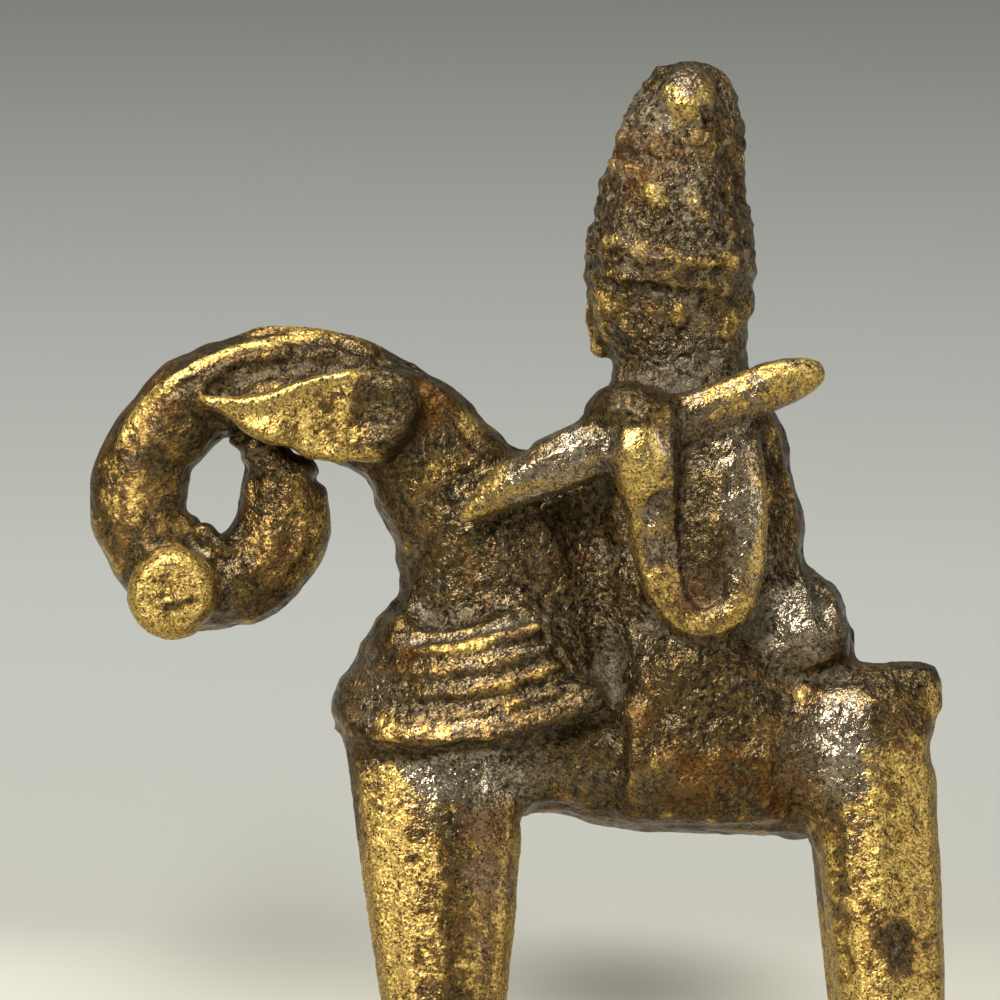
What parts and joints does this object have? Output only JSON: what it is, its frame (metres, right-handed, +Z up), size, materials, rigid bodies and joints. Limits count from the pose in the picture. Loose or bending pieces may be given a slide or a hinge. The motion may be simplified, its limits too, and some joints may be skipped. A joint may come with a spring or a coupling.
{
  "type": "bronze equestrian figurine",
  "caption": "Small lost-wax cast bronze of a rider with a tall wound cap on a horse whose head curls into a ring; stands on its cone legs.",
  "frame": {"origin": "on the floor, under the middle of the figure's bounding box", "axes": "+Z up, the horse looks along -X, its left side is on -Y"},
  "size_m": [0.0454, 0.0146, 0.0581],
  "materials": {
    "worn_brass": "hand-worn brass, speckled with dark pits",
    "brown_bronze": "brown bronze with worn ridges",
    "dark_patina": "dark brown patina with grey dirt in the hollows"
  },
  "bodies": {
    "root": {"horse_trunk": "dark_patina", "rider_torso": "dark_patina", "saddle_cantle": "dark_patina", "thigh_left": "dark_patina", "thigh_right": "dark_patina", "breast_pad": "dark_patina", "rider_head": "dark_patina", "neck_and_head": "brown_bronze", "crest_ridge": "brown_bronze", "tail_stub": "brown_bronze", "saddle_cloth": "brown_bronze", "cap": "brown_bronze", "breast_thread_1": "brown_bronze", "breast_thread_2": "brown_bronze", "breast_thread_3": "brown_bronze", "breast_thread_4": "brown_bronze", "foreleg_left": "worn_brass", "foreleg_right": "worn_brass", "hindleg_left": "worn_brass", "hindleg_right": "worn_brass", "ear_left": "worn_brass", "ear_right": "worn_brass", "eye_left": "worn_brass", "eye_right": "worn_brass", "breast_hem": "worn_brass", "cap_knob": "worn_brass", "lance": "worn_brass", "arm_left": "worn_brass", "arm_right": "worn_brass"}
  },
  "joints": []
}
